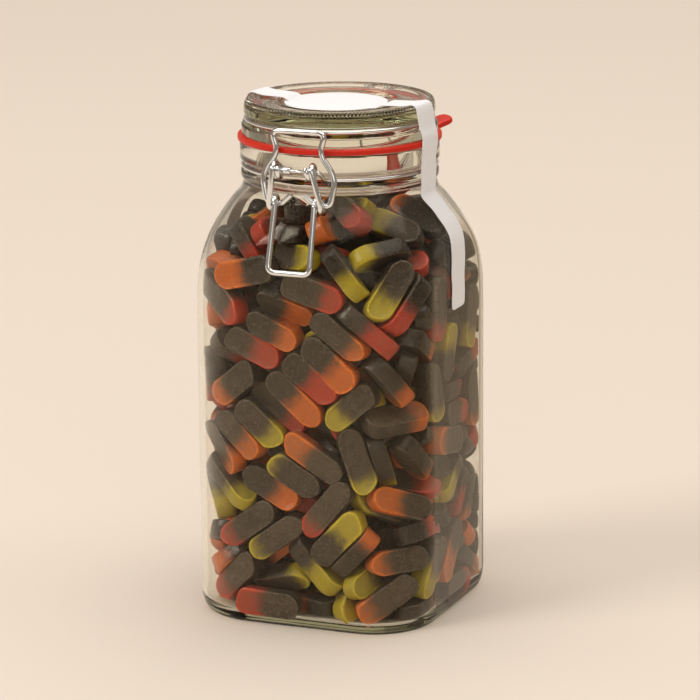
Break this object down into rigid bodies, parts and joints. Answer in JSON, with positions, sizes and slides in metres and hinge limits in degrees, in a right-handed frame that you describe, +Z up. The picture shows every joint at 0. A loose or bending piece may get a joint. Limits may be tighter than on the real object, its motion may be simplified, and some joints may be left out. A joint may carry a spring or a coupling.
{
  "type": "jar of liquorice candies",
  "caption": "Square clear glass preserving jar with wire clip-top lid and rubber gasket, filled with two-tone soft liquorice candies and closed with a paper seal.",
  "frame": {"origin": "middle of the jar's foot, on the surface it stands on", "axes": "+Z up, the wire clip faces -Y, the lid's hinge is on +Y, the arms of the paper seal run along X"},
  "size_m": [0.1324, 0.1365, 0.2665],
  "materials": {
    "jar_glass": "clear pressed glass, smooth and glossy, faint green tint in thick places",
    "lid_glass": "clear pressed glass with a knurled edge and concentric rings",
    "candy": "soft jelly, satin with a fine dusting, half dark grey-brown and half red, orange or yellow",
    "red_rubber": "smooth satin orange-red rubber",
    "ring_wire": "zinc-plated round wire, bright satin",
    "clip_wire": "zinc-plated round wire, bright satin",
    "seal_paper": "matt white self-adhesive paper, slightly wrinkled"
  },
  "bodies": {
    "jar": {"jar": "jar_glass", "candies": "candy", "gasket": "red_rubber", "neck_ring": "ring_wire", "seal_right": "seal_paper", "seal_left": "seal_paper"},
    "lid": {"lid": "lid_glass", "lid_ring": "ring_wire", "seal_lid": "seal_paper"},
    "lever": {"lever": "clip_wire"},
    "bail": {"bail": "clip_wire"}
  },
  "joints": [
    {"name": "lid_hinge", "type": "hinge", "parent": "jar", "child": "lid", "pos_m": [0, 0.058, 0.249], "axis": [-1, 0, 0], "range_deg": [0, 110]},
    {"name": "lever_pivot", "type": "hinge", "parent": "jar", "child": "lever", "pos_m": [0, -0.0555, 0.237], "axis": [-1, 0, 0], "range_deg": [0, 110]},
    {"name": "bail_pivot", "type": "hinge", "parent": "lever", "child": "bail", "pos_m": [0, -0.0575, 0.2208], "axis": [-1, 0, 0], "range_deg": [-145, 0]}
  ],
  "couplings": [
    {"joint": "bail_pivot", "follows": "lever_pivot", "ratio": -1.3}
  ]
}
